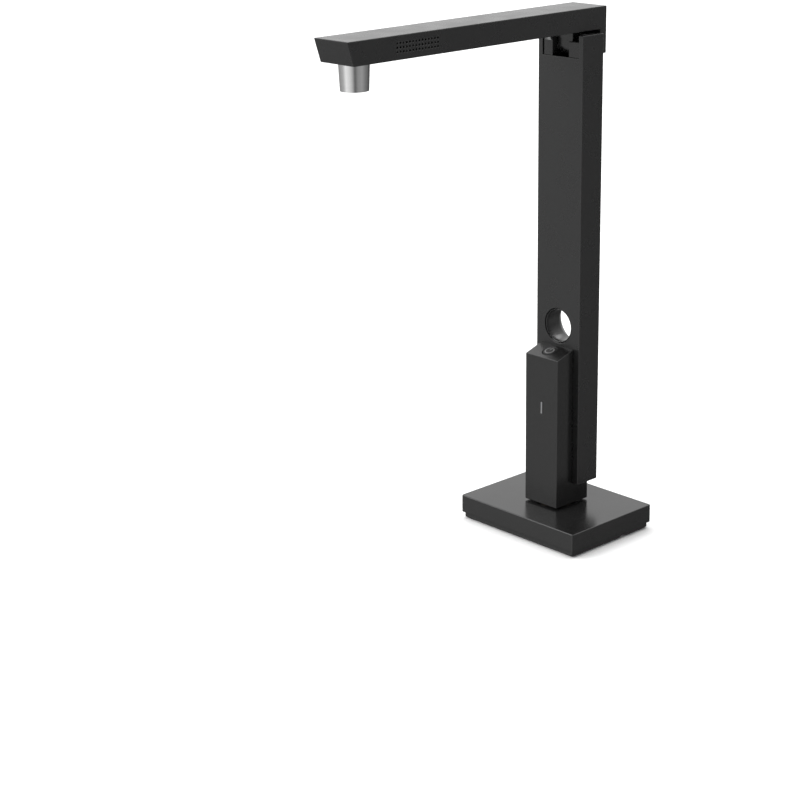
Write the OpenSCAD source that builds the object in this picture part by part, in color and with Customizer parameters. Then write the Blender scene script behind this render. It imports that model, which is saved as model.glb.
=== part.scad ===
// Folding overhead document camera: a heavy base, a swivelling stand and an arm that folds down the stand.
// Frame: +Z up, origin on the resting plane under the middle of the base, the arm points to -Y.

/* [Base] */
// Width of the base slab
base_w = 104.6; // [98:0.2:120]
// Depth of the base slab
base_d = 78.2; // [70:0.2:90]
// Height of the base's top face
base_top = 17; // [16:0.5:22]
// Height of the underside of the slab, where the narrower tray begins
slab_z = 4.4; // [4:0.1:5]

/* [Stand] */
// Width of the post, its foot and the arm
post_w = 29.2; // [28:0.2:30]
// Front face of the post, in front of the swivel axis
post_front = 14.7; // [14:0.1:16]
// Height of the post's front edge, where the sloping top begins
post_top = 122.6; // [118:0.2:123]
// Width of the column
column_w = 38.6; // [38:0.2:40]
// Depth of the column, front to back
column_d = 19.4; // [19:0.2:20]
// Height of the column's top
column_top = 334; // [333.8:0.1:334.4]
// Height of the dock hole's centre
hole_z = 141; // [140:0.5:145]
// Radius of the dock hole
hole_r = 12; // [11.5:0.1:12.5]

/* [Arm] */
// Height of the arm's underside
arm_z = 335.8; // [335.6:0.1:336.2]
// Thickness of the arm
arm_h = 14.5; // [14:0.1:16]
// Distance of the arm's upper front edge from the swivel axis
arm_reach = 191.2; // [190.8:0.1:191.3]
// Slant of the arm's nose and of the post's top, degrees
nose_angle = 17.5; // [16:0.5:18]

/* [Hidden] */
$fn = 64;

wall = 2;
gap = 0.3;
cut = 1;

// Base
base_r = 1.6;
tray_inset = 1.5;
foot_drop = 0.8;
cover_top = 2.4;
tray_lip = 1.2;
ballast_t = 4.5;
ballast_z = slab_z + tray_lip - gap;
ballast_inset = 8;
screw_x = 38;
screw_y = 25;
pad_w = 90;
pad_d = 64;
pad_t = 1.8;
pad_r = 4;
boss_r = 3.6;
notch_y = 10;
notch_w = 4.6;
notch_h = 2.2;

// Swivel
spigot_r = 8;
bush_wall = 1.5;
swivel_fit = 0.05;
bush_flange_r = 12;
post_z = 18;
spigot_bottom = 8;
collar_drop = 2.4;

// Column
column_front = 1;
column_back = column_front + column_d;
column_mid = column_front + column_d / 2;
column_z = 32.4;
cheek = 3.5;
slot_x = column_w / 2 - cheek;
inner_x = column_w / 2 - wall;
dock_r = 11;
dock_wall = 0.4;
flare_y = 14.5;
flare_r = 15;
foot_back = 16.4;
slope_rise = (column_front + post_front) * tan(nose_angle);
post_in = post_w / 2 - wall;

// Hinge
pivot_y = column_mid;
pivot_z = column_top - 8.6;
pin_r = 2.5;
pin_fit = 0.05;
slot_z = 319.5;
block_w = 7.4;
block_round = 10.4;
block_z = 300;
knuckle_w = 13;
knuckle_r = 5.4;
washer_t = 0.3;
washer_r = 4.8;
block_x = knuckle_w / 2 + 0.5;

// Arm and lens
arm_w = post_w + 0.3;
arm_in = arm_w / 2 - wall;
arm_top = arm_z + arm_h;
flange_t = 5.8;
flange_front = 22.2;
arm_back = flange_front + flange_t;
flange_z = 320.3;
lens_y = pivot_y - (pivot_z - hole_z);
nose_back = arm_reach - arm_h * tan(nose_angle);
barrel_z = 319.4;
barrel_r = 9.4;
barrel_tip_r = 8.6;
seat_r = 8;
seat_fit = 0.1;
bore_r = 6.4;
arm_screw_y = [-158, -104, -50];
grille_y = -136.7;
grille_z = 343.1;
grille_pitch = 2.5;
grille_columns = 14;
grille_rows = 3;
grille_hole_r = 0.75;

// Button, on the slope
button_y = -6.8;
button_z = post_top + (button_y + post_front) * tan(nose_angle);
button_r = 4.2;
ring_r = 4.9;
icon_r = 3.3;
icon_line = 0.55;
button_proud = 0.3;
stem_r = 1.8;
stem_z = -5.2;

BLACK = "#303030";
DARK = "#1c1c1c";
STEEL = "#b8bcc0";
SILVER = "#c8c8c8";
BOARD = "#1f5a35";

// Extrudes a profile drawn in (y, z) along x, centred on x = 0 or starting at x0
module along_x(w, x0 = undef) {
    start = is_undef(x0) ? -w / 2 : x0;
    rotate([90, 0, 90])
        translate([0, 0, start])
            linear_extrude(w)
                children();
}

// Box between two corners
module span(a, b) {
    translate(a)
        cube(b - a);
}

// Upright block with rounded corners, centred in x and y
module rounded_block(w, d, h, r) {
    linear_extrude(h)
        union() {
            square([w - 2 * r, d], center = true);
            square([w, d - 2 * r], center = true);
            for (x = [-1, 1])
                for (y = [-1, 1])
                    translate([x * (w / 2 - r), y * (d / 2 - r)])
                        circle(r);
        }
}

// Children at the four corners of a rectangle
module corners(x, y) {
    for (i = [-1, 1])
        for (j = [-1, 1])
            translate([i * x, j * y, 0])
                children();
}

// Cylinder along y, from y0 over a length
module rod_y(r, y0, length) {
    translate([0, y0, 0])
        rotate([-90, 0, 0])
            cylinder(r = r, h = length);
}

// Cylinder along x about the arm's pivot
module rod_x(r, x0, length) {
    translate([x0, pivot_y, pivot_z])
        rotate([0, 90, 0])
            cylinder(r = r, h = length);
}

// Places children on the post's slope with +Z as its outward normal
module on_slope() {
    translate([0, button_y, button_z])
        rotate([nose_angle, 0, 0])
            children();
}

module at_dock() {
    translate([0, 0, hole_z])
        children();
}

module at_lens(z) {
    translate([0, lens_y, z])
        children();
}

// Screw pointing up: head at the bottom, shank above it
module screw_up(head_r, head_h, shank_r, shank_h) {
    difference() {
        union() {
            cylinder(r = head_r, h = head_h);
            cylinder(r = shank_r, h = head_h + shank_h);
        }
        translate([0, 0, -cut])
            cylinder(r = head_r * 0.45, h = cut + head_h * 0.6, $fn = 6);
    }
}

// ---- Base ----

module base_cover() {
    color(BLACK)
        difference() {
            translate([0, 0, slab_z])
                rounded_block(base_w, base_d, base_top - slab_z, base_r);
            difference() {
                translate([0, 0, slab_z - cut])
                    rounded_block(base_w - 2 * wall, base_d - 2 * wall, base_top - cover_top - slab_z + cut, 1);
                corners(screw_x, screw_y)
                    cylinder(r = boss_r, h = base_top);
            }
            corners(screw_x, screw_y)
                cylinder(r = 1.5, h = 13);
            corners(screw_x, screw_y)
                cylinder(r = boss_r + cut, h = slab_z + tray_lip);
            cylinder(r = spigot_r + bush_wall + swivel_fit, h = base_top + cut);
        }
}

module base_tray() {
    tray_w = base_w - 2 * tray_inset;
    tray_d = base_d - 2 * tray_inset;
    color(DARK)
        difference() {
            union() {
                translate([0, 0, foot_drop])
                    rounded_block(tray_w, tray_d, slab_z - foot_drop, base_r);
                translate([0, 0, slab_z])
                    rounded_block(base_w - 2 * wall - gap, base_d - 2 * wall - gap, tray_lip - gap, 1);
            }
            rounded_block(pad_w + 0.2, pad_d + 0.2, pad_t, pad_r);
            corners(screw_x, screw_y) {
                cylinder(r = 1.7, h = base_top);
                cylinder(r = 3.2, h = pad_t + 1.8);
            }
            span([tray_w / 2 - 2, notch_y, 0], [tray_w / 2 + cut, notch_y + notch_w, foot_drop + notch_h]);
        }
}

module ballast_plate() {
    color(STEEL)
        difference() {
            translate([0, 0, ballast_z])
                rounded_block(base_w - 2 * ballast_inset, base_d - 2 * ballast_inset, ballast_t, 3);
            corners(screw_x, screw_y)
                cylinder(r = boss_r + 4, h = base_top);
            cylinder(r = bush_flange_r + 3, h = base_top);
        }
}

module rubber_pad() {
    color(DARK)
        rounded_block(pad_w, pad_d, pad_t, pad_r);
}

module base_screws() {
    color(STEEL)
        corners(screw_x, screw_y)
            translate([0, 0, pad_t + 0.1])
                screw_up(2.8, 1.6, 1.45, 8);
}

module swivel_bush() {
    color(SILVER)
        difference() {
            union() {
                translate([0, 0, base_top - cover_top - collar_drop])
                    cylinder(r = spigot_r + bush_wall, h = cover_top + collar_drop);
                translate([0, 0, base_top])
                    cylinder(r = bush_flange_r, h = 0.4);
            }
            cylinder(r = spigot_r + swivel_fit, h = base_top + 2 * cut);
        }
}

// ---- Swivel parts that turn with the stand ----

module swivel_spigot() {
    color(STEEL)
        difference() {
            union() {
                translate([0, 0, spigot_bottom])
                    cylinder(r = spigot_r, h = post_z - spigot_bottom);
                translate([0, 0, base_top + 0.7])
                    cylinder(r = bush_flange_r, h = post_z - base_top - 0.7);
            }
            translate([0, 0, spigot_bottom - cut])
                cylinder(r = 2.1, h = 6);
            for (i = [-1, 1])
                translate([i * 5, 0, 0])
                    cylinder(r = 1.25, h = post_z + cut);
        }
}

module swivel_washer() {
    color(STEEL)
        difference() {
            translate([0, 0, base_top - cover_top - collar_drop - 1.6])
                cylinder(r = bush_flange_r, h = 1.2);
            cylinder(r = spigot_r + 0.1, h = base_top);
        }
}

module swivel_nut() {
    color(STEEL)
        difference() {
            translate([0, 0, spigot_bottom])
                cylinder(r = bush_flange_r - 1, h = base_top - cover_top - collar_drop - 1.8 - spigot_bottom);
            cylinder(r = spigot_r, h = base_top);
        }
}

// ---- Post ----

module post_profile() {
    polygon([
        [-post_front, post_z],
        [foot_back, post_z],
        [foot_back, column_z],
        [column_front, column_z],
        [column_front, post_top + slope_rise],
        [-post_front, post_top]
    ]);
}

module post_cavity_profile() {
    roof = post_top - wall / cos(nose_angle);
    polygon([
        [-post_front + wall, post_z - cut],
        [foot_back - wall, post_z - cut],
        [foot_back - wall, column_z - wall],
        [column_front - wall, column_z - wall],
        [column_front - wall, roof + (post_front + column_front - wall) * tan(nose_angle)],
        [-post_front + wall, roof + wall * tan(nose_angle)]
    ]);
}

module post_housing() {
    color(BLACK)
        difference() {
            along_x(post_w)
                post_profile();
            along_x(2 * post_in)
                post_cavity_profile();
            on_slope() {
                translate([0, 0, -5])
                    cylinder(r = button_r + 0.25, h = 10);
                translate([0, 0, -0.8])
                    cylinder(r = ring_r, h = 2);
            }
            translate([0, -post_front - cut, 87])
                span([-0.6, 0, -4], [0.6, 5, 4]);
            translate([0, 0, 25])
                for (i = [-1, 1])
                    translate([i * 2.9, 0, 0])
                        rod_y(1.9, foot_back - 5, 10);
            span([-2.9, foot_back - 5, 23.1], [2.9, foot_back + cut, 26.9]);
        }
}

module post_floor() {
    color(DARK)
        difference() {
            span(
                [-post_in + 0.1, -post_front + wall + 0.1, post_z],
                [post_in - 0.1, foot_back - wall - 0.1, post_z + 2.4]
            );
            for (i = [-1, 1])
                translate([i * 5, 0, 0])
                    cylinder(r = 1.5, h = post_z + 5);
        }
}

module post_screws() {
    color(STEEL)
        for (i = [-1, 1])
            translate([i * 5, 0, post_z + 3.9])
                mirror([0, 0, 1])
                    screw_up(2.4, 1.4, 1.2, 7);
}

module button_ring() {
    color(DARK)
        on_slope()
            translate([0, 0, -0.75])
                difference() {
                    cylinder(r = ring_r - 0.1, h = 0.85);
                    translate([0, 0, -cut])
                        cylinder(r = button_r + 0.3, h = 3);
                }
}

module button_board() {
    color(BOARD)
        on_slope()
            span([-10, -7, -9.4], [10, 2.8, -8.2]);
}

module dome_switch() {
    color(STEEL)
        on_slope() {
            span([-3, -3, -8.2], [3, 3, -7.2]);
            translate([0, 0, -7.2])
                cylinder(r1 = 2.4, r2 = 1.6, h = 0.9);
        }
}

module main_board() {
    color(BOARD)
        difference() {
            span([-post_in + 0.6, -5.2, 24], [post_in - 0.6, -3.8, 108]);
            for (z = [32, 100])
                for (i = [-1, 1])
                    translate([i * 9.6, 0, z])
                        rod_y(1.3, -10, 20);
        }
}

module board_chips() {
    color(DARK) {
        span([-6, -6.9, 58], [6, -5.2, 70]);
        span([-4, -6.3, 73], [4, -5.2, 80]);
        span([-8, -6.6, 40], [-2, -5.2, 46]);
        span([2, -6.6, 40], [8, -5.2, 46]);
        span([-6, -7.2, 95], [6, -5.2, 99]);
    }
}

module led_light_pipe() {
    color("white") {
        span([-0.5, -post_front + 0.1, 83.1], [0.5, -post_front + 4, 90.9]);
        span([-2, -post_front + 4, 82], [2, -5.4, 92]);
    }
}

module usb_c_socket() {
    color(STEEL)
        translate([0, 0, 25])
            difference() {
                union() {
                    for (i = [-1, 1])
                        translate([i * 2.8, 0, 0])
                            rod_y(1.6, foot_back - 7.5, 7.3);
                    span([-2.8, foot_back - 7.5, -1.6], [2.8, foot_back - 0.2, 1.6]);
                }
                for (i = [-1, 1])
                    translate([i * 2.8, 0, 0])
                        rod_y(1.25, foot_back - 6.5, 10);
                span([-2.8, foot_back - 6.5, -1.25], [2.8, foot_back + cut, -0.35]);
                span([-2.8, foot_back - 6.5, 0.35], [2.8, foot_back + cut, 1.25]);
                span([-4.05, foot_back - 1.2, -0.36], [4.05, foot_back + cut, 0.36]);
            }
}

// ---- Column ----

module column_shell() {
    color(BLACK)
        difference() {
            span([-column_w / 2, column_front, column_z], [column_w / 2, column_back, column_top]);
            span([-inner_x, column_front + wall, column_z - cut], [inner_x, column_back + cut, slot_z - 12]);
            span([-slot_x, column_front + wall, slot_z - 13], [slot_x, column_back + cut, slot_z + cut]);
            span([-slot_x, column_front - cut, slot_z], [slot_x, column_back + cut, column_top + cut]);
            at_dock()
                rod_y(hole_r, column_front - cut, 5);
            rod_x(pin_r + pin_fit, -column_w / 2 + 0.6, column_w - 1.2);
            for (x = [-column_w / 2 - cut, column_w / 2 - 0.3])
                rod_x(1.2, x, cut + 0.3);
        }
}

module column_back_cover() {
    color(BLACK)
        difference() {
            union() {
                span(
                    [-inner_x + 0.05, column_back - wall, column_z + gap],
                    [inner_x - 0.05, column_back, slot_z - 12.2]
                );
                span(
                    [-slot_x + 0.05, column_back - wall, slot_z - 12.2],
                    [slot_x - 0.05, column_back, pivot_z + 5]
                );
            }
            at_dock()
                rod_y(flare_r + dock_wall + 0.2, column_back - 5, 10);
            for (z = [44, 110, 210, 290])
                translate([0, 0, z]) {
                    rod_y(1.6, column_back - 5, 10);
                    rod_y(2.9, column_back - 1.2, 5);
                }
        }
}

module column_bottom_cap() {
    color(DARK)
        span(
            [-inner_x + 0.05, column_front + wall + 0.05, column_z + gap],
            [inner_x - 0.05, column_back - wall - 0.05, column_z + wall]
        );
}

module column_spine() {
    color(STEEL)
        difference() {
            span(
                [-inner_x + 0.4, column_back - wall - 1.9, 36],
                [inner_x - 0.4, column_back - wall - 0.1, 299]
            );
            at_dock()
                rod_y(flare_r + dock_wall + 0.2, 0, column_back);
            for (z = [44, 110, 210, 290])
                translate([0, 0, z])
                    rod_y(1.25, 0, column_back);
        }
}

module column_screws() {
    color(DARK)
        for (z = [44, 110, 210, 290])
            translate([0, column_back - 0.1, z])
                rotate([90, 0, 0])
                    screw_up(2.7, 1.1, 1.2, 4);
}

// Liner of the dock hole: a thin tube that flares towards the back, with a tab in the gap and clip notches
module dock_ring() {
    rear = column_back - 0.2;
    front = column_front + 0.5;
    tab_r = hole_r - 0.1;
    tab_turn = 257;
    color(BLACK)
        at_dock()
            difference() {
                union() {
                    rotate([-90, 0, 0])
                        rotate_extrude()
                            polygon([
                                [dock_r, front],
                                [dock_r + dock_wall, front],
                                [dock_r + dock_wall, flare_y],
                                [flare_r + dock_wall, rear],
                                [flare_r, rear],
                                [dock_r, flare_y]
                            ]);
                    intersection() {
                        difference() {
                            rod_y(tab_r, front, wall);
                            rod_y(dock_r + dock_wall / 2, 0, column_d);
                        }
                        rotate([0, -tab_turn, 0])
                            span([0, 0, -4.6], [hole_r, column_d, 4.6]);
                    }
                }
                for (turn = [222, tab_turn - 20, tab_turn + 20])
                    rotate([0, -turn, 0])
                        span([dock_r - cut, front - cut, -0.5], [hole_r, front + 1, 0.5]);
            }
}

module flat_cable() {
    color("#d8d2c0") {
        span([12.6, column_mid, 38], [15.4, column_mid + 0.3, 298]);
        span([-12, column_mid, 36], [15.4, column_mid + 0.3, 38]);
    }
}

// ---- Hinge ----

module block_profile() {
    intersection() {
        translate([column_front + 0.05, slot_z - 10])
            square([column_d - wall - 0.1, column_top - slot_z + 10]);
        union() {
            translate([pivot_y, pivot_z])
                circle(block_round);
            translate([0, slot_z - 10])
                square([column_back, pivot_z - slot_z + 10]);
        }
    }
}

module block_shape(x0, w) {
    difference() {
        union() {
            intersection() {
                along_x(w, x0)
                    block_profile();
                span([x0, column_front, slot_z + 0.1], [x0 + w, column_back, column_top]);
            }
            span([x0, column_front + wall + 0.1, block_z], [x0 + w, column_back - wall - 2.2, slot_z + cut]);
        }
        rod_x(pin_r + pin_fit, x0 - cut, w + 2 * cut);
    }
}

module hinge_block_left() {
    color(BLACK)
        block_shape(-block_x - block_w, block_w);
}

module hinge_block_right() {
    color(BLACK)
        difference() {
            block_shape(block_x, slot_x - block_x - 0.1);
            span(
                [block_x - cut, column_front - cut, column_top - 4.3],
                [slot_x + cut, pivot_y, column_top + cut]
            );
        }
}

module hinge_pin() {
    color(STEEL)
        rod_x(pin_r, -column_w / 2 + 0.8, column_w - 1.6);
}

module friction_washers() {
    color(STEEL)
        for (x0 = [-block_x, block_x - washer_t])
            difference() {
                rod_x(washer_r, x0, washer_t);
                rod_x(pin_r + pin_fit, x0 - cut, washer_t + 2 * cut);
            }
}

module pin_clip() {
    color(STEEL)
        difference() {
            rod_x(4.2, -slot_x + 0.2, 0.6);
            rod_x(pin_r + pin_fit, -slot_x - cut, 3);
        }
}

// ---- Arm ----

module arm_profile() {
    polygon([
        [-nose_back, arm_z],
        [flange_front, arm_z],
        [flange_front, flange_z],
        [arm_back, flange_z],
        [arm_back, arm_top],
        [-arm_reach, arm_top]
    ]);
}

module arm_cavity_profile() {
    polygon([
        [-nose_back + wall, arm_z - cut],
        [flange_front - gap, arm_z - cut],
        [flange_front - gap, arm_top - wall],
        [-nose_back - (arm_h - wall) * tan(nose_angle) + 1.1 * wall, arm_top - wall]
    ]);
}

module arm_body() {
    color(BLACK)
        difference() {
            along_x(arm_w)
                arm_profile();
            along_x(2 * arm_in)
                arm_cavity_profile();
            grille_holes();
        }
}

module grille_holes() {
    for (i = [0:grille_columns - 1])
        for (j = [0:grille_rows - 1])
            translate([
                arm_in - cut,
                grille_y + (i - (grille_columns - 1) / 2) * grille_pitch,
                grille_z + (j - (grille_rows - 1) / 2) * grille_pitch
            ])
                rotate([0, 90, 0])
                    cylinder(r = grille_hole_r, h = wall + 2 * cut, $fn = 24);
}

module arm_bottom_cover() {
    color(BLACK)
        difference() {
            span(
                [-arm_in + 0.1, -nose_back + wall + 0.2, arm_z],
                [arm_in - 0.1, flange_front - gap - 0.1, arm_z + wall]
            );
            at_lens(0)
                cylinder(r = barrel_r + 0.3, h = arm_top);
            span(
                [-knuckle_w / 2 - 0.2, pivot_y - knuckle_r - 0.2, 0],
                [knuckle_w / 2 + 0.2, pivot_y + knuckle_r + 0.2, arm_top]
            );
            for (y = arm_screw_y)
                for (x = [-1, 1])
                    translate([x * 8.5, y, 0]) {
                        cylinder(r = 1.4, h = arm_top);
                        cylinder(r = 2.6, h = arm_z + 1.1);
                    }
        }
}

module arm_screws() {
    color(DARK)
        for (y = arm_screw_y)
            for (x = [-1, 1])
                translate([x * 8.5, y, arm_z + 0.1])
                    screw_up(2.4, 0.9, 1.2, 4);
}

module arm_knuckle() {
    color(BLACK)
        difference() {
            union() {
                rod_x(knuckle_r, -knuckle_w / 2, knuckle_w);
                span(
                    [-knuckle_w / 2, pivot_y - knuckle_r, pivot_z],
                    [knuckle_w / 2, pivot_y + knuckle_r, arm_top - wall - 0.1]
                );
                span([-knuckle_w / 2, -40, arm_z + wall + 0.1], [knuckle_w / 2, pivot_y, arm_z + wall + 4]);
            }
            rod_x(pin_r + pin_fit, -knuckle_w, 2 * knuckle_w);
            for (y = [-34, -14])
                translate([0, y, 0])
                    cylinder(r = 1.25, h = arm_top);
        }
}

module grille_mesh() {
    half = grille_columns * grille_pitch / 2 + 1;
    color(DARK)
        span([arm_in - 0.7, grille_y - half, grille_z - 4.6], [arm_in - 0.1, grille_y + half, grille_z + 4.6]);
}

module microphone_module() {
    color(BOARD) {
        span([arm_in - 1.9, grille_y - 16, grille_z - 4.4], [arm_in - 0.9, grille_y + 16, grille_z + 4.2]);
        for (y = [-10, 0, 10])
            translate([arm_in - 3.1, grille_y + y, grille_z - 0.1])
                rotate([0, 90, 0])
                    cylinder(r = 3, h = 1.3);
    }
}

module camera_board() {
    color(BOARD)
        at_lens(arm_top - wall - 3.2)
            span([-11.2, -11, 0], [11.2, 11, 1.2]);
}

module image_sensor() {
    color(DARK)
        at_lens(arm_top - wall - 4.4)
            span([-4.5, -4, 0], [4.5, 4, 1.2]);
}

module lens_seat() {
    seat_top = arm_top - wall - 3.2;
    color(DARK)
        at_lens(0)
            difference() {
                translate([0, 0, arm_z - 2])
                    cylinder(r = seat_r, h = seat_top - arm_z + 2);
                translate([0, 0, arm_z - 2 - cut])
                    cylinder(r = bore_r, h = arm_h + 4);
            }
}

module lens_barrel() {
    color(SILVER)
        at_lens(barrel_z)
            difference() {
                cylinder(r1 = barrel_tip_r, r2 = barrel_r, h = arm_z - barrel_z + 1);
                translate([0, 0, -cut])
                    cylinder(r = 7.4, h = 30);
                translate([0, 0, arm_z - 2.2 - barrel_z])
                    cylinder(r = seat_r + seat_fit, h = 10);
            }
}

module lens_elements() {
    color("#9fb4c4")
        at_lens(0)
            for (z = [arm_z - 1, arm_z + 3])
                translate([0, 0, z])
                    cylinder(r = bore_r - 0.1, h = 1.8);
}

module lens_glass() {
    color("#2a3440")
        at_lens(barrel_z + 3)
            cylinder(r = 7.3, h = 1.2);
}

module lens_ring() {
    color(DARK)
        at_lens(barrel_z + 0.4)
            difference() {
                cylinder(r = 7.3, h = 2.5);
                translate([0, 0, -cut])
                    cylinder(r1 = 6.9, r2 = 5.2, h = 4.5);
            }
}

// ---- Power button ----

module power_button() {
    color(DARK)
        on_slope() {
            translate([0, 0, -3])
                cylinder(r = button_r, h = 3 + button_proud);
            span([-button_r - 1.4, -2.5, -3.6], [button_r + 1.4, 2.5, -2.5]);
            translate([0, 0, stem_z])
                cylinder(r = stem_r, h = -stem_z - 3);
        }
}

module power_icon() {
    color(SILVER)
        on_slope()
            translate([0, 0, button_proud])
                union() {
                    difference() {
                        cylinder(r = icon_r, h = 0.1);
                        translate([0, 0, -cut])
                            cylinder(r = icon_r - icon_line, h = 3);
                        span([-1.1, 1, -cut], [1.1, icon_r + cut, cut]);
                    }
                    span([-icon_line / 2, 0.2, 0], [icon_line / 2, icon_r + 0.5, 0.1]);
                }
}

base_cover();
base_tray();
ballast_plate();
rubber_pad();
base_screws();
swivel_bush();
swivel_spigot();
swivel_washer();
swivel_nut();
post_floor();
post_screws();
post_housing();
button_ring();
button_board();
dome_switch();
main_board();
board_chips();
led_light_pipe();
usb_c_socket();
column_shell();
column_back_cover();
column_bottom_cap();
column_spine();
column_screws();
dock_ring();
flat_cable();
hinge_block_left();
hinge_block_right();
hinge_pin();
friction_washers();
pin_clip();
arm_body();
arm_bottom_cover();
arm_knuckle();
arm_screws();
grille_mesh();
microphone_module();
camera_board();
image_sensor();
lens_seat();
lens_barrel();
lens_elements();
lens_glass();
lens_ring();
power_button();
power_icon();
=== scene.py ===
"""Looks of the folding document camera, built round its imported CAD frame. Lengths are in metres."""

import math

import bmesh
import bpy
from mathutils import Matrix, Vector


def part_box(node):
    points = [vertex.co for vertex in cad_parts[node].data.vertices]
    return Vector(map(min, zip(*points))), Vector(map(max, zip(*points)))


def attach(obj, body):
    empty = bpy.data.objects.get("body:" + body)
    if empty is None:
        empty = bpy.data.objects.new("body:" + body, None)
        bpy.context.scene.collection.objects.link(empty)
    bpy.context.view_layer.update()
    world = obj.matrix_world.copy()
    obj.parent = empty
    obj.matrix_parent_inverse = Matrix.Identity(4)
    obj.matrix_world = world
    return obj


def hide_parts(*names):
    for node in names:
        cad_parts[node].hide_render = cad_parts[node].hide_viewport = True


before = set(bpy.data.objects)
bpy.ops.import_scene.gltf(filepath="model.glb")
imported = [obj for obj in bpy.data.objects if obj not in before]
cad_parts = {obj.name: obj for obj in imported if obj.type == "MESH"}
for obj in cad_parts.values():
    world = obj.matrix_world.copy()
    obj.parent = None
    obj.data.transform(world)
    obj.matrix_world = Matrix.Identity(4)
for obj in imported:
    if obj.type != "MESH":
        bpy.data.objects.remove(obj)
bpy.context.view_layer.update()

MM = 0.001


# ---------------------------------------------------------------- materials

class Surface:
    """A node material: one Principled shader, with small helpers that add procedural detail to it."""

    def __init__(self, name, **sockets):
        self.material = bpy.data.materials.new(name)
        self.material.use_nodes = True
        self.tree = self.material.node_tree
        self.shader = self.tree.nodes["Principled BSDF"]
        for socket, value in sockets.items():
            self.shader.inputs[socket.replace("_", " ")].default_value = value
        self.coords = self.tree.nodes.new("ShaderNodeTexCoord").outputs["Object"]
        self.normal = None

    def node(self, kind, **settings):
        made = self.tree.nodes.new(kind)
        for key, value in settings.items():
            setattr(made, key, value)
        return made

    def link(self, source, target):
        self.tree.links.new(source, target)

    def stretched(self, scale):
        """Object coordinates scaled by a different factor along each axis."""
        mapping = self.node("ShaderNodeMapping")
        mapping.inputs["Scale"].default_value = scale
        self.link(self.coords, mapping.inputs["Vector"])
        return mapping.outputs["Vector"]

    def noise(self, scale, detail=3.0, vector=None):
        texture = self.node("ShaderNodeTexNoise")
        texture.inputs["Scale"].default_value = scale
        texture.inputs["Detail"].default_value = detail
        self.link(vector or self.coords, texture.inputs["Vector"])
        return texture.outputs["Fac"]

    def cells(self, scale):
        texture = self.node("ShaderNodeTexVoronoi")
        texture.inputs["Scale"].default_value = scale
        self.link(self.coords, texture.inputs["Vector"])
        return texture.outputs["Distance"]

    def ramp(self, value, low, high, low_out=0.0, high_out=1.0):
        """Maps a value from low..high to low_out..high_out, smoothly and held within it."""
        mapped = self.node("ShaderNodeMapRange", interpolation_type="SMOOTHSTEP")
        limits = {"From Min": low, "From Max": high, "To Min": low_out, "To Max": high_out}
        for socket, number in limits.items():
            mapped.inputs[socket].default_value = number
        self.link(value, mapped.inputs["Value"])
        return mapped.outputs["Result"]

    def blend(self, factor, first, second):
        mix = self.node("ShaderNodeMix", data_type="RGBA")
        self.link(factor, mix.inputs["Factor"])
        for socket, colour in ((mix.inputs["A"], first), (mix.inputs["B"], second)):
            if isinstance(colour, tuple):
                socket.default_value = (*colour, 1.0)
            else:
                self.link(colour, socket)
        return mix.outputs["Result"]

    def bump(self, height, depth, strength=1.0):
        """Adds a height field of the given depth in metres on top of earlier ones."""
        made = self.node("ShaderNodeBump")
        made.inputs["Strength"].default_value = strength
        made.inputs["Distance"].default_value = depth
        self.link(height, made.inputs["Height"])
        if self.normal:
            self.link(self.normal, made.inputs["Normal"])
        self.normal = made.outputs["Normal"]
        self.link(self.normal, self.shader.inputs["Normal"])

    def edges(self, radius):
        """0 on flats and rising towards 1 on convex or concave edges within the radius."""
        rounded = self.node("ShaderNodeBevel", samples=4)
        rounded.inputs["Radius"].default_value = radius
        geometry = self.node("ShaderNodeNewGeometry")
        dot = self.node("ShaderNodeVectorMath", operation="DOT_PRODUCT")
        self.link(rounded.outputs["Normal"], dot.inputs[0])
        self.link(geometry.outputs["Normal"], dot.inputs[1])
        return self.ramp(dot.outputs["Value"], 0.985, 0.88)

    def colour(self, value):
        self.link(value, self.shader.inputs["Base Color"])

    def roughness(self, value):
        self.link(value, self.shader.inputs["Roughness"])


def grey(level, warm=0.0):
    return (level * (1 + warm), level, level * (1 - warm))


def moulded(name, level, rough, grain=2600.0, depth=0.003, edge_wear_and_highlight=2.6, specular=0.5):
    """Textured moulded plastic: spark-eroded grain, faint flow marks, handling smudges, and edges lightened
    by a painted highlight with a little wear in it.
    """
    s = Surface(name, Specular_IOR_Level=specular)
    flow = s.noise(14.0, 2.0, s.stretched((1.0, 1.0, 0.35)))
    body = s.blend(s.ramp(flow, 0.35, 0.65), grey(level * 0.92), grey(level * 1.08, 0.01))
    touched = s.blend(s.ramp(s.noise(380.0, 5.0), 0.42, 0.75), body, grey(level * 1.08))
    # Painted highlight: the edges get a lighter colour that stands in for the light they catch, with a little
    # real wear in it
    s.colour(s.blend(s.edges(0.8 * MM), touched, grey(level * edge_wear_and_highlight)))
    s.roughness(s.ramp(s.noise(45.0, 4.0), 0.3, 0.7, rough - 0.03, rough + 0.03))
    s.bump(s.noise(grain, 2.0), depth * MM, 0.55)
    s.bump(s.cells(grain * 0.45), depth * 0.6 * MM, 0.35)
    return s.material


def anodised(name, level, rough, direction):
    """Bead-blasted, black anodised aluminium: very fine grain, and edges lightened mostly by a painted
    highlight, a little by wear of the oxide.
    """
    s = Surface(name, Specular_IOR_Level=0.5)
    cloud = s.noise(9.0, 2.0, s.stretched(direction))
    body = s.blend(s.ramp(cloud, 0.3, 0.7), grey(level * 0.94), grey(level * 1.06, -0.01))
    speck = s.blend(s.ramp(s.noise(5200.0, 1.0), 0.55, 0.8), body, grey(level * 1.2))
    # Painted highlight: a lighter colour on the edges in place of the light they catch, with a little oxide
    # wear in it
    s.colour(s.blend(s.edges(0.9 * MM), speck, grey(level * 3.2)))
    s.roughness(s.ramp(s.noise(60.0, 4.0), 0.3, 0.7, rough - 0.02, rough + 0.03))
    s.bump(s.noise(4800.0, 2.0), 0.002 * MM, 0.4)
    return s.material


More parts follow.
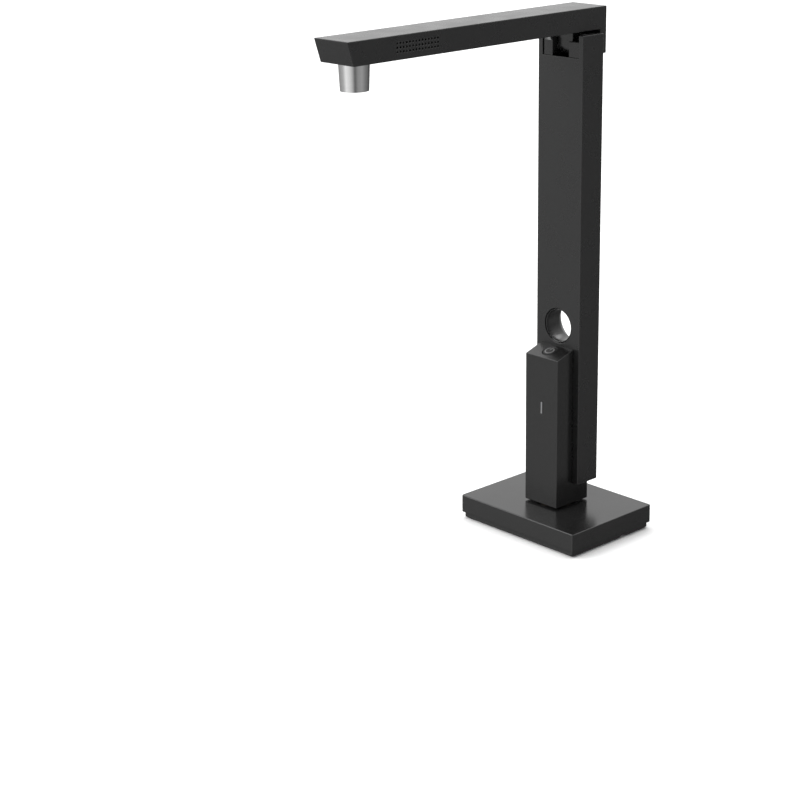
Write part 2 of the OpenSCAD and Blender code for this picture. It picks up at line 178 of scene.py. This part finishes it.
def turned_metal(name, level, rough):
    """Metal turned on a lathe: fine rings round +Z, with small differences in tone from ring to ring."""
    s = Surface(name, Metallic=1.0)
    rings = s.noise(1.0, 4.0, s.stretched((3.0, 3.0, 9000.0)))
    s.colour(s.blend(s.ramp(rings, 0.3, 0.7), grey(level * 0.97), grey(min(level * 1.03, 1.0))))
    s.roughness(s.ramp(rings, 0.3, 0.7, rough - 0.02, rough + 0.03))
    s.bump(rings, 0.001 * MM, 0.4)
    return s.material


def steel(name, level, rough, warm=0.0):
    """Plated or black-oxide steel: mottled plating and soft scratches in every direction."""
    s = Surface(name, Metallic=1.0)
    patch = s.ramp(s.noise(220.0, 4.0), 0.35, 0.7)
    s.colour(s.blend(patch, grey(level * 0.85, warm), grey(level * 1.05, warm)))
    s.roughness(s.ramp(s.noise(900.0, 5.0), 0.3, 0.75, rough - 0.08, rough + 0.12))
    s.bump(s.noise(1500.0, 5.0), 0.01 * MM, 0.4)
    return s.material


def rubber(name, level):
    """Anti-slip rubber: small raised cells with dusty hollows."""
    s = Surface(name, Specular_IOR_Level=0.25)
    pattern = s.cells(420.0)
    s.colour(s.blend(s.ramp(pattern, 0.15, 0.55), grey(level), grey(level * 1.9, 0.02)))
    s.roughness(s.ramp(s.noise(90.0), 0.3, 0.7, 0.72, 0.88))
    s.bump(s.ramp(pattern, 0.2, 0.6, 1.0, 0.0), 0.12 * MM, 0.7)
    s.bump(s.noise(3000.0, 3.0), 0.02 * MM, 0.5)
    return s.material


def circuit_board(name):
    """Solder-masked board: green mask, slightly raised traces and tinned pads."""
    s = Surface(name, Specular_IOR_Level=0.5, Coat_Weight=0.3, Coat_Roughness=0.15)
    traces = s.node("ShaderNodeTexBrick", offset=0.35)
    pattern = {"Scale": 260.0, "Mortar Size": 0.05, "Brick Width": 0.9, "Row Height": 0.22}
    for socket, number in pattern.items():
        traces.inputs[socket].default_value = number
    s.link(s.coords, traces.inputs["Vector"])
    masked = s.blend(traces.outputs["Fac"], (0.006, 0.07, 0.03), (0.012, 0.12, 0.05))
    pads = s.ramp(s.cells(330.0), 0.16, 0.12)
    s.colour(s.blend(pads, masked, (0.62, 0.6, 0.52)))
    s.roughness(s.ramp(s.noise(500.0), 0.3, 0.7, 0.28, 0.42))
    s.bump(traces.outputs["Fac"], 0.03 * MM, 0.5)
    return s.material


def ribbon(name):
    """Flat ribbon cable: side by side conductors under a pale film."""
    s = Surface(name, Specular_IOR_Level=0.4)
    wires = s.node("ShaderNodeTexWave", bands_direction="X")
    wires.inputs["Scale"].default_value = 320.0
    s.link(s.coords, wires.inputs["Vector"])
    s.colour(s.blend(wires.outputs["Fac"], (0.6, 0.57, 0.5), (0.8, 0.77, 0.7)))
    s.roughness(s.ramp(s.noise(120.0), 0.3, 0.7, 0.3, 0.45))
    s.bump(wires.outputs["Fac"], 0.05 * MM, 0.6)
    return s.material


def mesh_cloth(name):
    """Acoustic mesh behind the grille: a tight weave, almost black."""
    s = Surface(name, Specular_IOR_Level=0.2)
    weave = s.cells(2600.0)
    s.colour(s.blend(s.ramp(weave, 0.1, 0.5), grey(0.004), grey(0.016)))
    s.roughness(s.ramp(s.noise(200.0), 0.3, 0.7, 0.7, 0.85))
    s.bump(weave, 0.08 * MM, 0.8)
    return s.material


def print_ink(name, level):
    """Pad-printed light grey mark, a little uneven in cover."""
    s = Surface(name, Specular_IOR_Level=0.4)
    s.colour(s.blend(s.ramp(s.noise(2400.0, 3.0), 0.35, 0.65), grey(level * 0.85), grey(level)))
    s.roughness(s.ramp(s.noise(900.0), 0.3, 0.7, 0.4, 0.55))
    s.bump(s.noise(3000.0), 0.01 * MM, 0.4)
    return s.material


def diffuser(name):
    """Frosted light pipe, unlit: milky and a little cloudy."""
    s = Surface(name, Specular_IOR_Level=0.4)
    s.colour(s.blend(s.ramp(s.noise(700.0), 0.3, 0.7), grey(0.19, -0.02), grey(0.24, -0.02)))
    s.roughness(s.ramp(s.noise(1200.0), 0.3, 0.7, 0.3, 0.42))
    s.bump(s.noise(2500.0), 0.01 * MM, 0.4)
    return s.material


def coated_glass(name, tint, rough):
    """Multi-coated lens glass: dark, with a faint uneven coating colour and a trace of dust."""
    s = Surface(name, Transmission_Weight=0.85, IOR=1.6, Coat_Weight=0.6, Coat_Roughness=0.03)
    s.colour(s.blend(s.ramp(s.noise(70.0, 2.0), 0.35, 0.65), tint, tuple(c * 0.6 for c in tint)))
    s.roughness(s.ramp(s.noise(2600.0, 2.0), 0.66, 0.8, rough, rough + 0.12))
    return s.material


# The edge level given to moulded() lightens the edges: a painted highlight, with a little wear in it
BLACK_MOULDED = moulded("black_moulded", 0.0095, 0.22, specular=0.56)
POST_MOULDED = moulded("post_moulded", 0.0095, 0.22, specular=0.54)
DARK_PLASTIC = moulded("dark_plastic", 0.009, 0.42, grain=3000.0, edge_wear_and_highlight=1.6, specular=0.4)
LINER_PLASTIC = moulded("liner_plastic", 0.022, 0.18, grain=3600.0, edge_wear_and_highlight=1.8, specular=0.8)
BUTTON_PLASTIC = moulded("button_plastic", 0.009, 0.3, grain=3600.0, depth=0.004, edge_wear_and_highlight=1.6)
CHIP = moulded("chip", 0.02, 0.55, grain=4200.0, edge_wear_and_highlight=1.4)
COLUMN_METAL = anodised("column_anodised", 0.012, 0.28, (1.0, 1.0, 0.2))
ARM_METAL = anodised("arm_anodised", 0.013, 0.27, (1.0, 0.2, 1.0))
SILVER = turned_metal("silver_turned", 0.66, 0.15)
BRONZE = steel("bronze", 0.45, 0.35, 0.3)
STEEL = steel("zinc_steel", 0.55, 0.35)
DARK_STEEL = steel("black_oxide", 0.07, 0.45)
RUBBER = rubber("black_rubber", 0.012)
BOARD = circuit_board("board")
RIBBON = ribbon("ribbon")
MESH = mesh_cloth("acoustic_mesh")
INK = print_ink("icon_ink", 0.25)
LIGHT_PIPE = diffuser("light_pipe")
GLASS = coated_glass("front_glass", (0.35, 0.42, 0.6), 0.02)
INNER_GLASS = coated_glass("inner_glass", (0.5, 0.4, 0.62), 0.03)

NODE_MATERIALS = {
    "base_cover": BLACK_MOULDED, "base_tray": BLACK_MOULDED, "ballast_plate": STEEL, "rubber_pad": RUBBER,
    "base_screws": STEEL, "swivel_bush": BRONZE, "swivel_spigot": STEEL, "swivel_washer": STEEL,
    "swivel_nut": STEEL, "post_floor": DARK_PLASTIC, "post_screws": STEEL, "post_housing": POST_MOULDED,
    "button_ring": DARK_PLASTIC, "button_board": BOARD, "dome_switch": STEEL, "main_board": BOARD,
    "board_chips": CHIP, "led_light_pipe": LIGHT_PIPE, "usb_c_socket": STEEL, "column_shell": COLUMN_METAL,
    "column_back_cover": COLUMN_METAL, "column_bottom_cap": DARK_PLASTIC, "column_spine": STEEL,
    "column_screws": DARK_STEEL, "dock_ring": LINER_PLASTIC, "flat_cable": RIBBON,
    "hinge_block_left": BLACK_MOULDED, "hinge_block_right": BLACK_MOULDED, "hinge_pin": DARK_STEEL,
    "friction_washers": STEEL, "pin_clip": STEEL, "arm_body": ARM_METAL, "arm_bottom_cover": BLACK_MOULDED,
    "arm_knuckle": BLACK_MOULDED, "arm_screws": DARK_STEEL, "grille_mesh": MESH, "microphone_module": BOARD,
    "camera_board": BOARD, "image_sensor": CHIP, "lens_seat": DARK_PLASTIC, "lens_barrel": SILVER,
    "lens_elements": INNER_GLASS, "lens_glass": GLASS, "lens_ring": DARK_PLASTIC,
    "power_button": BUTTON_PLASTIC, "power_icon": INK,
}

# Edge radius of a CAD node, in millimetres; a node that isn't here keeps its sharp edges
EDGE_RADIUS = {
    "base_tray": 0.4, "ballast_plate": 0.4, "rubber_pad": 0.3, "base_screws": 0.15, "swivel_nut": 0.2,
    "post_floor": 0.3, "post_screws": 0.12, "post_housing": 0.6, "power_button": 0.3, "board_chips": 0.1,
    "column_back_cover": 0.25, "column_bottom_cap": 0.2, "column_spine": 0.15, "column_screws": 0.15,
    "dock_ring": 0.25, "hinge_block_left": 0.4, "hinge_block_right": 0.4, "hinge_pin": 0.4,
    "arm_bottom_cover": 0.25, "arm_knuckle": 0.5, "arm_screws": 0.12, "lens_seat": 0.2, "lens_elements": 0.25,
}

WELD_GAP = 0.002 * MM
FLAT_WITHIN = math.radians(0.4)
EDGE_FROM = math.radians(28)
SHARP_FROM = math.radians(35)


def dress(name, material):
    """Gives a CAD node its material and, without touching its vertices, rounds its edges with modifiers."""
    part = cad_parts[name]
    for place in part.material_slots:
        place.material = material
    weld = part.modifiers.new("weld", "WELD")
    weld.merge_threshold = WELD_GAP
    radius = EDGE_RADIUS.get(name)
    if radius:
        flats = part.modifiers.new("flats", "DECIMATE")
        flats.decimate_type = "DISSOLVE"
        flats.angle_limit = FLAT_WITHIN
        bevel = part.modifiers.new("bevel", "BEVEL")
        bevel.width = radius * MM
        bevel.segments = 3
        bevel.limit_method = "ANGLE"
        bevel.angle_limit = EDGE_FROM
        bevel.use_clamp_overlap = False
        bevel.harden_normals = True


for node_name, node_material in NODE_MATERIALS.items():
    dress(node_name, node_material)


# ---------------------------------------------------------------- building solids

EDGE_SEGMENTS = 4
CORNER_SEGMENTS = 10


def loft(bm, rings):
    """Closes a stack of rings with a cap at each end and with faces between neighbouring rings."""
    bm.faces.new(rings[0])
    bm.faces.new(rings[-1])
    count = len(rings[0])
    for low, high in zip(rings, rings[1:]):
        for k in range(count):
            bm.faces.new((low[k], low[(k + 1) % count], high[(k + 1) % count], high[k]))


def placed(name, bm):
    """Ends the building of a mesh and puts it into the scene as an object."""
    mesh = bpy.data.meshes.new(name)
    bm.to_mesh(mesh)
    bm.free()
    made = bpy.data.objects.new(name, mesh)
    bpy.context.collection.objects.link(made)
    return made


def prism(name, outline, x_low, x_high, radius=0.0):
    """A closed solid: an outline in (y, z) from x_low to x_high, with its edges rounded."""
    bm = bmesh.new()
    loft(bm, [[bm.verts.new((x, y, z)) for y, z in outline] for x in (x_low, x_high)])
    bmesh.ops.recalc_face_normals(bm, faces=bm.faces)
    if radius:
        bmesh.ops.bevel(
            bm, geom=bm.edges[:], offset=radius, segments=EDGE_SEGMENTS, profile=0.5, affect="EDGES"
        )
    return placed(name, bm)


def block(name, low, high, radius=0.0):
    (x0, y0, z0), (x1, y1, z1) = low, high
    return prism(name, [(y0, z0), (y1, z0), (y1, z1), (y0, z1)], x0, x1, radius)


def lofted_slab(name, centre, width, depth, corner, rows):
    """A closed block with rounded upright corners; each row is an inset and a height."""
    bm = bmesh.new()
    rings = []
    for inset, height in rows:
        ring = []
        for quadrant, (sx, sy) in enumerate(((1, 1), (-1, 1), (-1, -1), (1, -1))):
            for k in range(CORNER_SEGMENTS + 1):
                angle = math.radians(90 * quadrant + 90 * k / CORNER_SEGMENTS)
                ring.append(bm.verts.new((
                    centre.x + sx * (width / 2 - corner) + (corner - inset) * math.cos(angle),
                    centre.y + sy * (depth / 2 - corner) + (corner - inset) * math.sin(angle),
                    height,
                )))
        rings.append(ring)
    loft(bm, rings)
    bmesh.ops.recalc_face_normals(bm, faces=bm.faces)
    return placed(name, bm)


def rounded_rows(low, high, radius):
    """Rows of a block whose lower and upper rims are rounded."""
    curve = [math.radians(90 * k / EDGE_SEGMENTS) for k in range(EDGE_SEGMENTS + 1)]
    rows = [(radius * (1 - math.sin(a)), low + radius * (1 - math.cos(a))) for a in curve]
    return rows + [(inset, high - (height - low)) for inset, height in reversed(rows)]


def circle(radius, around):
    """Points of a circle round the origin, as pairs."""
    angles = [2 * math.pi * k / around for k in range(around)]
    return [(radius * math.cos(a), radius * math.sin(a)) for a in angles]


def turned(name, rows, place, around=64):
    """A closed solid of revolution round +Z, its rows a radius and a height, then moved to its place."""
    bm = bmesh.new()
    loft(bm, [[bm.verts.new((x, y, height)) for x, y in circle(radius, around)] for radius, height in rows])
    bmesh.ops.transform(bm, matrix=place, verts=bm.verts)
    bmesh.ops.recalc_face_normals(bm, faces=bm.faces)
    return placed(name, bm)


def carve(target, cutter):
    """Takes the cutter's shape out of the target for good, and removes the cutter."""
    step = target.modifiers.new("carve", "BOOLEAN")
    step.operation = "DIFFERENCE"
    step.solver = "EXACT"
    step.object = cutter
    bpy.context.view_layer.update()
    result = bpy.data.meshes.new_from_object(target.evaluated_get(bpy.context.evaluated_depsgraph_get()))
    target.modifiers.remove(step)
    target.data = result
    bpy.data.objects.remove(cutter)


def finish_shell(shell, material, body, node):
    """Smooth edges beside flat faces and a material for the shell, which is hung on its body while the CAD
    node that it stands for is hidden.
    """
    for face in shell.data.polygons:
        face.use_smooth = True
    shell.data.set_sharp_from_angle(angle=SHARP_FROM)
    weighted = shell.modifiers.new("flat_normals", "WEIGHTED_NORMAL")
    weighted.keep_sharp = True
    weighted.weight = 100
    shell.data.materials.clear()
    shell.data.materials.append(material)
    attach(shell, body)
    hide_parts(node)


# ---------------------------------------------------------------- arm shell

ARM_LOW, ARM_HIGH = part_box("arm_body")
ARM_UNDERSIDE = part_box("arm_bottom_cover")[0].z
ARM_EDGE = 0.55 * MM
NOSE_TAN = math.tan(math.radians(17.5))
FLANGE = 5.8 * MM
FLANGE_STEP = 0.3 * MM
SHELL_WALL = 2.0 * MM
GRILLE_PITCH = 2.5 * MM
GRILLE_COLUMNS, GRILLE_ROWS = 14, 3
GRILLE_SIDES = 20
GRILLE_HOLE = 0.75 * MM
COUNTERSINK = 0.1 * MM


def grille_drills():
    """Countersunk drills for the grille, as one mesh."""
    mesh_low, mesh_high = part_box("grille_mesh")
    middle = (mesh_low + mesh_high) / 2
    rim = GRILLE_HOLE + COUNTERSINK
    outline = ((-3 * MM, GRILLE_HOLE), (-COUNTERSINK, GRILLE_HOLE), (0.0, rim), (MM, rim))
    bm = bmesh.new()
    for column in range(GRILLE_COLUMNS):
        for row in range(GRILLE_ROWS):
            y = middle.y + (column - (GRILLE_COLUMNS - 1) / 2) * GRILLE_PITCH
            z = middle.z + (row - (GRILLE_ROWS - 1) / 2) * GRILLE_PITCH
            rings = []
            for depth, radius in outline:
                around = circle(radius, GRILLE_SIDES)
                rings.append([bm.verts.new((ARM_HIGH.x + depth, y + dy, z + dz)) for dy, dz in around])
            loft(bm, rings)
    bmesh.ops.recalc_face_normals(bm, faces=bm.faces)
    return placed("drills", bm)


def make_arm_shell():
    """The arm's housing with softened edges, a real wall thickness and a countersunk grille."""
    height = ARM_HIGH.z - ARM_UNDERSIDE
    nose_low = ARM_LOW.y + height * NOSE_TAN
    flange_y = ARM_HIGH.y - FLANGE
    outside = [
        (nose_low, ARM_UNDERSIDE), (flange_y, ARM_UNDERSIDE), (flange_y, ARM_LOW.z), (ARM_HIGH.y, ARM_LOW.z),
        (ARM_HIGH.y, ARM_HIGH.z), (ARM_LOW.y, ARM_HIGH.z),
    ]
    shell = prism("arm_shell", outside, ARM_LOW.x, ARM_HIGH.x, ARM_EDGE)
    roof = ARM_HIGH.z - SHELL_WALL
    inside_back = flange_y - FLANGE_STEP
    nose_high = nose_low - (roof - ARM_UNDERSIDE) * NOSE_TAN
    inside = [
        (nose_low + SHELL_WALL, ARM_UNDERSIDE - MM), (inside_back, ARM_UNDERSIDE - MM), (inside_back, roof),
        (nose_high + 1.1 * SHELL_WALL, roof),
    ]
    carve(shell, prism("cavity", inside, ARM_LOW.x + SHELL_WALL, ARM_HIGH.x - SHELL_WALL))
    carve(shell, grille_drills())
    finish_shell(shell, ARM_METAL, "arm", "arm_body")


make_arm_shell()


# ---------------------------------------------------------------- base shell

BASE_CORNER = 1.6 * MM
BASE_EDGE = 0.7 * MM
BASE_WALL = 2.0 * MM
BASE_ROOF = 2.4 * MM
BUSH_SPAN = 19.1 * MM


def make_base_shell():
    """The base's cover: a soft-edged slab, hollow from below, with the bush's opening in its roof."""
    low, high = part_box("base_cover")
    centre = (low + high) / 2
    width, depth = high.x - low.x, high.y - low.y
    rows = rounded_rows(low.z, high.z, BASE_EDGE)
    shell = lofted_slab("base_shell", centre, width, depth, BASE_CORNER, rows)
    inside = width - 2 * BASE_WALL, depth - 2 * BASE_WALL
    carve(shell, lofted_slab("cavity", centre, *inside, MM, ((0, low.z - MM), (0, high.z - BASE_ROOF))))
    through = ((0, low.z), (0, high.z + MM))
    carve(shell, lofted_slab("bush_hole", centre, BUSH_SPAN, BUSH_SPAN, BUSH_SPAN / 2, through))
    finish_shell(shell, BLACK_MOULDED, "base", "base_cover")


make_base_shell()


# ---------------------------------------------------------------- column shell

COLUMN_EDGE = 0.45 * MM
COLUMN_WALL = 2.0 * MM
COLUMN_CHEEK = 3.5 * MM
SLOT_Z = 319.5 * MM
NECK_HEIGHT = 13.0 * MM
DOCK_Z, DOCK_R = 141.0 * MM, 12.0 * MM
DOCK_RIM = 0.25 * MM
PIVOT = (0.0, 10.7 * MM, 325.4 * MM)
PIN_R = 2.55 * MM
PIN_COVER = 0.6 * MM
DIMPLE_R, DIMPLE_DEPTH = 1.2 * MM, 0.3 * MM
DIMPLE_SIDES = 32


def make_column_shell():
    """The column's housing: one soft-edged tube, open at the back, with its fork, dock hole and pin seats."""
    low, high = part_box("column_shell")
    shell = block("column_shell_soft", low, high, COLUMN_EDGE)
    inner = high.x - COLUMN_WALL
    slot = high.x - COLUMN_CHEEK
    web = low.y + COLUMN_WALL
    neck = SLOT_Z - NECK_HEIGHT
    carve(shell, block("inside", (-inner, web, low.z - MM), (inner, high.y + MM, neck + MM)))
    carve(shell, block("neck", (-slot, web, neck), (slot, high.y + MM, SLOT_Z + MM)))
    carve(shell, block("fork", (-slot, low.y - MM, SLOT_Z), (slot, high.y + MM, high.z + MM)))
    along_y = Matrix.Translation((0, 0, DOCK_Z)) @ Matrix.Rotation(math.radians(-90), 4, "X")
    wide = DOCK_R + DOCK_RIM
    dock = ((wide, low.y - MM), (wide, low.y), (DOCK_R, low.y + DOCK_RIM), (DOCK_R, low.y + 4 * MM))
    carve(shell, turned("dock", dock, along_y))
    along_x = Matrix.Translation(PIVOT) @ Matrix.Rotation(math.radians(90), 4, "Y")
    carve(shell, turned("pin_seat", ((PIN_R, low.x + PIN_COVER), (PIN_R, high.x - PIN_COVER)), along_x))
    for inside, outside in ((low.x + DIMPLE_DEPTH, low.x - MM), (high.x - DIMPLE_DEPTH, high.x + MM)):
        carve(shell, turned("dimple", ((DIMPLE_R, inside), (DIMPLE_R, outside)), along_x, DIMPLE_SIDES))
    finish_shell(shell, COLUMN_METAL, "stand", "column_shell")


make_column_shell()


# ---------------------------------------------------------------- stage, light and camera

FLOOR_REACH = 14.0


def make_floor():
    """White paper, far wider than the view, that isn't mirrored in the object."""
    corners = [(x * FLOOR_REACH, y * FLOOR_REACH, 0) for x, y in ((-1, -1), (1, -1), (1, 1), (-1, 1))]
    mesh = bpy.data.meshes.new("floor")
    mesh.from_pydata(corners, [], [(0, 1, 2, 3)])
    floor = bpy.data.objects.new("floor", mesh)
    bpy.context.collection.objects.link(floor)
    s = Surface("floor_paper", Specular_IOR_Level=0.1, Roughness=0.9)
    s.colour(s.blend(s.ramp(s.noise(3.0), 0.3, 0.7), grey(0.93), grey(0.95)))
    floor.data.materials.append(s.material)
    floor.visible_glossy = False


def sun(name, towards, strength, spread):
    """A far, soft lamp in the given direction, so that the floor is lit evenly."""
    data = bpy.data.lights.new(name, "SUN")
    data.angle = math.radians(spread)
    data.energy = strength
    light = bpy.data.objects.new(name, data)
    bpy.context.collection.objects.link(light)
    light.rotation_mode = "QUATERNION"
    light.rotation_quaternion = Vector(towards).to_track_quat("Z", "Y")


FRONT_RIGHT, REAR_RIGHT = (0.74, -0.673, 0.0), (0.673, 0.74, 0.0)

# Brightness of the studio below the horizon, as an angle and a level: a wide soft panel on the left and a
# fainter one on the right, which the lens barrel mirrors. The angle is in degrees from FRONT_RIGHT,
# anticlockwise seen from above.
LOW_PANELS = (
    (-180, 0.35), (-128, 0.38), (-99, 0.54), (-88, 0.62), (-64, 1.18), (-36, 0.95), (-13, 0.60), (2, 0.20),
    (10, 0.18), (28, 0.36), (60, 0.44), (89, 0.27), (128, 0.14), (180, 0.35),
)
PANEL_RANGE = 1.3

# The upper part of the studio is brightest in this direction
SKY = (-0.8, 0.1, 0.6)


def make_world():
    """Pale above, brightest on the left; lower down, panels that show in the upright surfaces."""
    world = bpy.data.worlds.new("studio")
    bpy.context.scene.world = world
    world.use_nodes = True
    tree = world.node_tree

    def node(kind, operation=None, **inputs):
        """Makes a node and returns its outputs; an input is named by its socket, or by i and its number."""
        made = tree.nodes.new(kind)
        if operation:
            made.operation = operation
        for socket, value in inputs.items():
            numbered = socket[0] == "i" and socket[1:].isdigit()
            target = made.inputs[int(socket[1:]) if numbered else socket]
            if isinstance(value, bpy.types.NodeSocket):
                tree.links.new(value, target)
            else:
                target.default_value = value
        return made.outputs

    def facing(direction):
        """1 where the light comes from the direction, down to -1 on the opposite side."""
        return node("ShaderNodeVectorMath", "DOT_PRODUCT", i0=way, i1=Vector(direction).normalized())["Value"]

    def fit(value, low, high, low_out, high_out):
        """Maps a value from low..high to low_out..high_out, smoothly and held within it."""
        limits = {"From Min": low, "From Max": high, "To Min": low_out, "To Max": high_out}
        result = node("ShaderNodeMapRange", Value=value, **limits)["Result"]
        result.node.interpolation_type = "SMOOTHSTEP"
        return result

    way = node("ShaderNodeTexCoord")["Generated"]
    upper = fit(facing(SKY), -0.7, 0.9, 0.22, 1.15)

    turn = node("ShaderNodeMath", "ARCTAN2", i0=facing(REAR_RIGHT), i1=facing(FRONT_RIGHT))["Value"]
    along = node("ShaderNodeMath", "MULTIPLY_ADD", i0=turn, i1=0.5 / math.pi, i2=0.5)["Value"]
    ramp = node("ShaderNodeValToRGB", Fac=along)["Color"]
    stops = ramp.node.color_ramp.elements
    while len(stops) < len(LOW_PANELS):
        stops.new(0.5)
    for stop, (angle, level) in zip(stops, LOW_PANELS):
        stop.position = angle / 360 + 0.5
        stop.color = (*grey(level / PANEL_RANGE), 1)
    height = node("ShaderNodeSeparateXYZ", Vector=way)["Z"]
    scale = fit(height, -0.62, -0.38, 0.5 * PANEL_RANGE, PANEL_RANGE)
    lower = node("ShaderNodeMath", "MULTIPLY", i0=ramp, i1=scale)["Value"]

    both = node("ShaderNodeMix", Factor=fit(height, -0.2, 0.0, 0, 1), A=lower, B=upper)["Result"]
    background = tree.nodes["Background"]
    background.inputs["Color"].default_value = (1, 1, 1, 1)
    tree.links.new(both, background.inputs["Strength"])


CAMERA_PLACE = (0.8398, -0.9061, 0.5016)
CAMERA_AZIMUTH, CAMERA_ELEVATION, CAMERA_ROLL = (math.radians(angle) for angle in (47.72, 18.45, -1.02))


def make_camera():
    level = math.cos(CAMERA_ELEVATION)
    back = Vector((
        math.sin(CAMERA_AZIMUTH) * level,
        -math.cos(CAMERA_AZIMUTH) * level,
        math.sin(CAMERA_ELEVATION),
    ))
    data = bpy.data.cameras.new("camera")
    data.lens = 86.56
    data.sensor_width = 36.0
    data.clip_end = 100.0
    camera = bpy.data.objects.new("camera", data)
    bpy.context.collection.objects.link(camera)
    camera.location = CAMERA_PLACE
    camera.rotation_mode = "QUATERNION"
    turn = (-back).to_track_quat("-Z", "Y").to_matrix() @ Matrix.Rotation(CAMERA_ROLL, 3, "Z")
    camera.rotation_quaternion = turn.to_quaternion()
    bpy.context.scene.camera = camera


make_floor()
make_world()
make_camera()
sun("key", (-1.0, -1.5, 1.3), 1.3, 40)
sun("overhead", (-0.3, 0.6, 2.2), 1.6, 60)
bpy.context.scene.view_settings.view_transform = "Standard"
